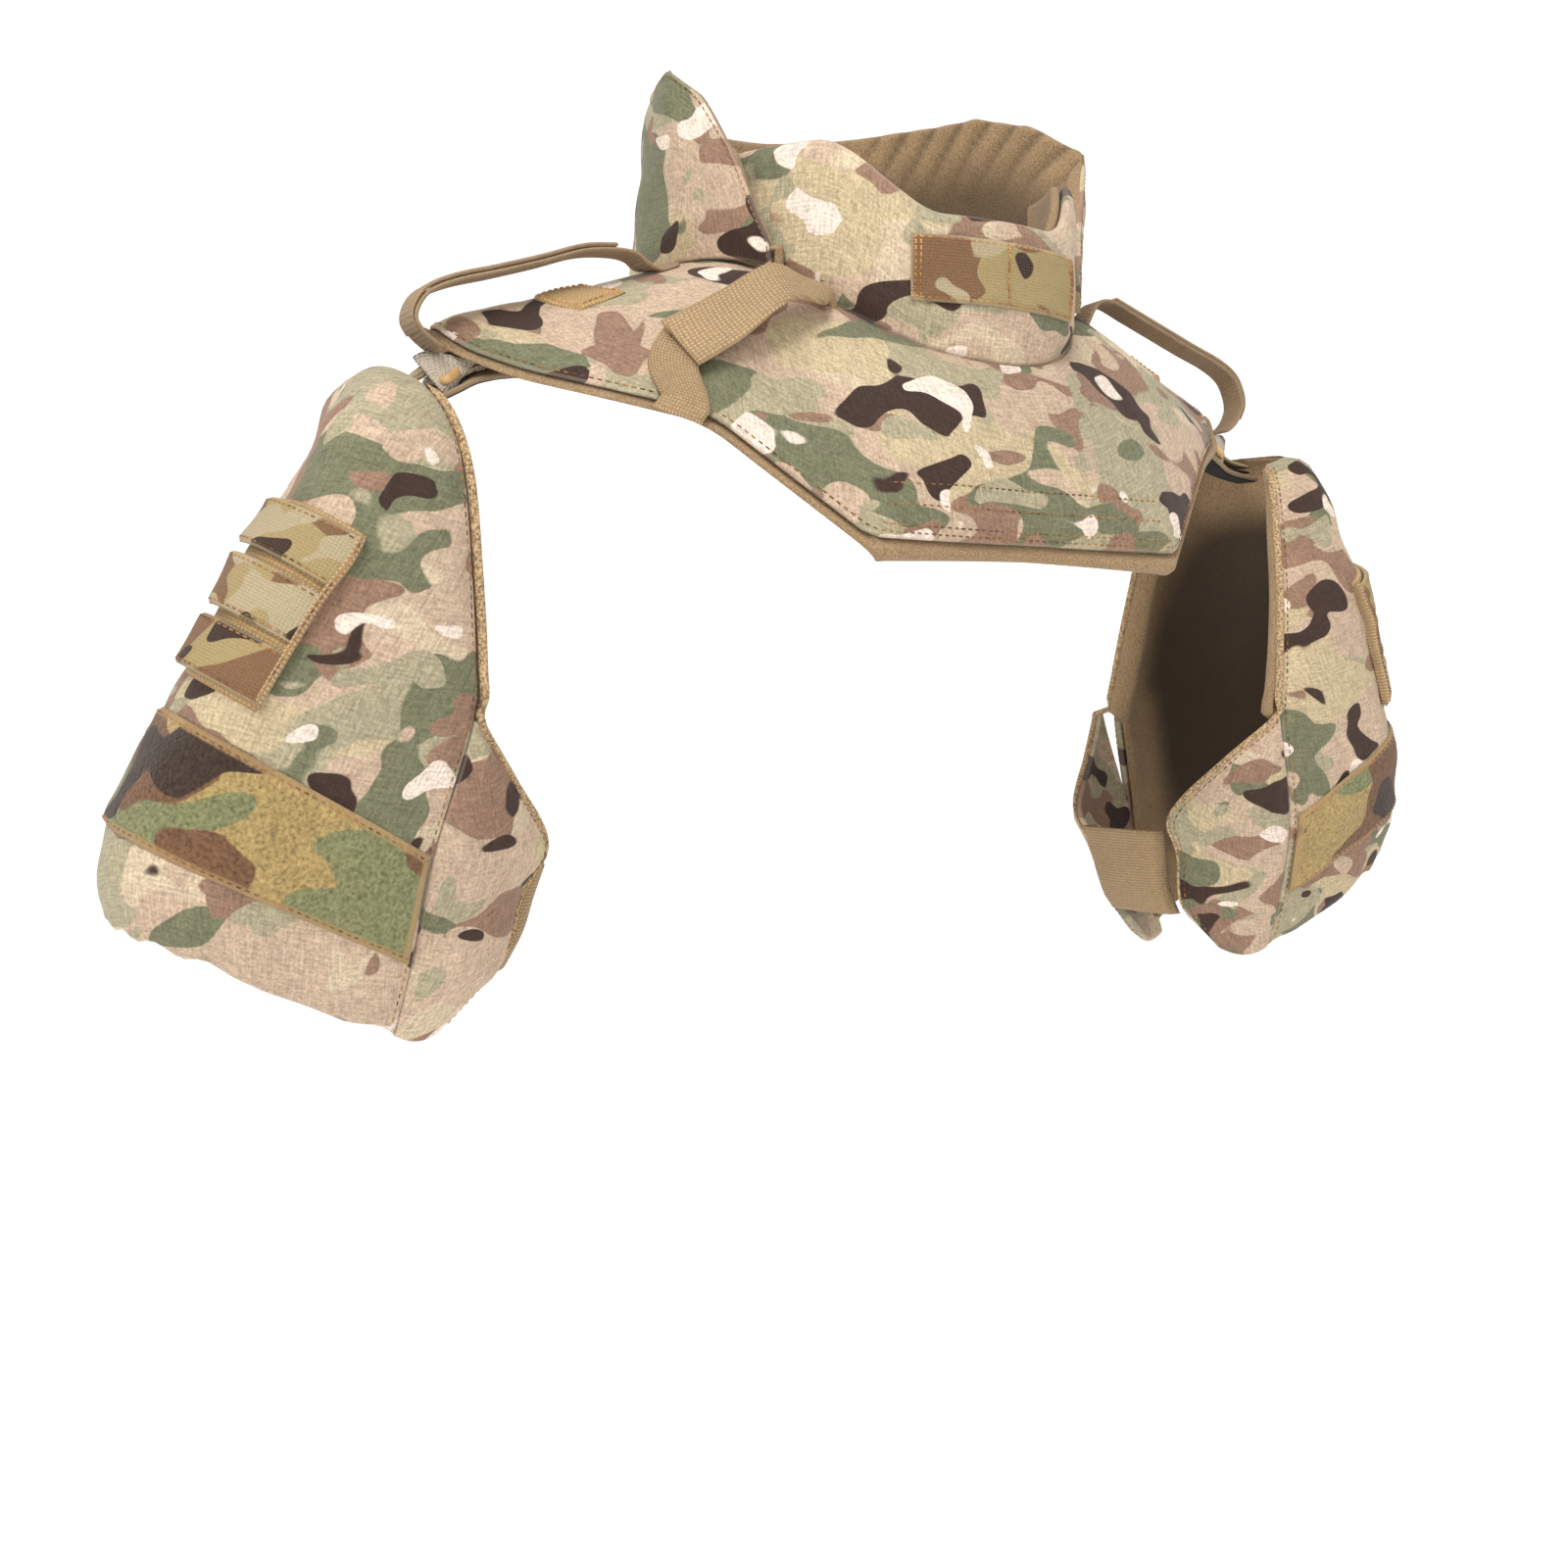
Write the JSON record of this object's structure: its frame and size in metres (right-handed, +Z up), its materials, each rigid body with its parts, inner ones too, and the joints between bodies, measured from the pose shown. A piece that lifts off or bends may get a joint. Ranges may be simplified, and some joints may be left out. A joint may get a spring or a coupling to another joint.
{
  "type": "shoulder and neck protector",
  "caption": "Padded camouflage protector worn over the neck, shoulders and upper arms: bib, yoke, collars and hanging arm shells with webbing.",
  "frame": {"origin": "middle of the neck opening, level with the base of the collars, where the part sits on the wearer's neck and shoulders", "axes": "+Z up, -Y to the wearer's front, +X to the wearer's left along the shoulders"},
  "size_m": [0.7146, 0.2469, 0.438],
  "materials": {
    "camo_fabric": null,
    "camo_webbing": null,
    "tan_fleece": "matte tan fleece and binding",
    "tan_webbing": "ribbed tan webbing",
    "loop_camo": null,
    "tan_plastic": "satin moulded plastic",
    "black_webbing": "matte black webbing"
  },
  "bodies": {
    "root": {"arm_band_left": "loop_camo", "arm_band_right": "loop_camo", "arm_cover_left": "camo_fabric", "arm_cover_right": "camo_fabric", "arm_lining_left": "tan_fleece", "arm_lining_right": "tan_fleece", "black_strap_left": "black_webbing", "black_strap_right": "black_webbing", "buckle_left": "tan_plastic", "buckle_right": "tan_plastic", "camo_strap_left": "camo_webbing", "camo_strap_right": "camo_webbing", "closure_elastic": "tan_webbing", "closure_tab": "tan_webbing", "collar_patch": "camo_webbing", "front_bib_cover": "camo_fabric", "front_bib_lining": "tan_fleece", "front_collar_cover": "camo_fabric", "front_collar_lining": "tan_fleece", "front_gusset_left": "camo_fabric", "front_gusset_right": "camo_fabric", "rear_collar_cover": "camo_fabric", "rear_collar_lining": "tan_fleece", "rear_gusset_left": "camo_fabric", "rear_gusset_right": "camo_fabric", "row_base_left": "tan_webbing", "row_base_right": "tan_webbing", "shoulder_loop_left": "tan_webbing", "shoulder_loop_right": "tan_webbing", "shoulder_patch_left": "tan_webbing", "shoulder_patch_right": "tan_webbing", "underarm_strap_left": "tan_webbing", "underarm_strap_right": "tan_webbing", "webbing_row_1_left": "camo_webbing", "webbing_row_1_right": "camo_webbing", "webbing_row_2_left": "camo_webbing", "webbing_row_2_right": "camo_webbing", "webbing_row_3_left": "camo_webbing", "webbing_row_3_right": "camo_webbing", "yoke_cover": "camo_fabric", "yoke_lining": "tan_fleece"}
  },
  "joints": []
}
